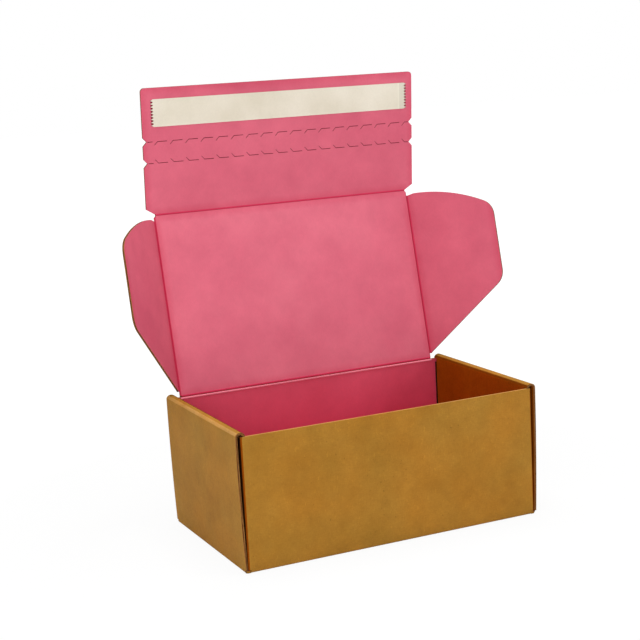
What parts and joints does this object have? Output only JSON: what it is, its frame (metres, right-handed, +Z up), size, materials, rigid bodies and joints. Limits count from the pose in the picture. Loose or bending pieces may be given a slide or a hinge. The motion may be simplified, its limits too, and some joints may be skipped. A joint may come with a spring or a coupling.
{
  "type": "corrugated mailer box",
  "caption": "Long mailer box folded from a single sheet of thin corrugated board, with a hinged lid, tuck-in side flaps and a front flap with a tear strip and adhesive closure.",
  "frame": {"origin": "centre of the floor's underside", "axes": "+X along the box, -Y towards the front wall, +Z up"},
  "size_m": [0.3142, 0.1717, 0.3333],
  "materials": {
    "kraft_board": "brown kraft outside, pink print inside",
    "printed_board": "pink print inside, brown kraft outside",
    "adhesive": "double-sided tape",
    "liner": "cream release paper"
  },
  "bodies": {
    "tray": {"tray": "kraft_board"},
    "lid": {"lid_panel": "printed_board"},
    "left_flap": {"left_lid_flap": "printed_board"},
    "right_flap": {"right_lid_flap": "printed_board"},
    "front": {"front_flap": "printed_board", "adhesive_strip": "adhesive", "release_liner": "liner"}
  },
  "joints": [
    {"name": "lid_hinge", "type": "hinge", "parent": "tray", "child": "lid", "pos_m": [0, 0.0692, 0.0991], "axis": [-1, 0, 0], "range_deg": [-103, 67]},
    {"name": "left_flap_crease", "type": "hinge", "parent": "lid", "child": "left_flap", "pos_m": [-0.1115, 0.08495, 0.16731], "axis": [0, -0.225, -0.9744], "range_deg": [-79.5, 52]},
    {"name": "right_flap_crease", "type": "hinge", "parent": "lid", "child": "right_flap", "pos_m": [0.1115, 0.08495, 0.16731], "axis": [0, 0.225, 0.9744], "range_deg": [-79.5, 52]},
    {"name": "front_flap_crease", "type": "hinge", "parent": "lid", "child": "front", "pos_m": [0, 0.10092, 0.23649], "axis": [1, 0, 0], "range_deg": [-17, 73]}
  ],
  "couplings": [
    {"joint": "left_flap_crease", "follows": "lid_hinge", "ratio": 0.77},
    {"joint": "right_flap_crease", "follows": "lid_hinge", "ratio": 0.77}
  ]
}
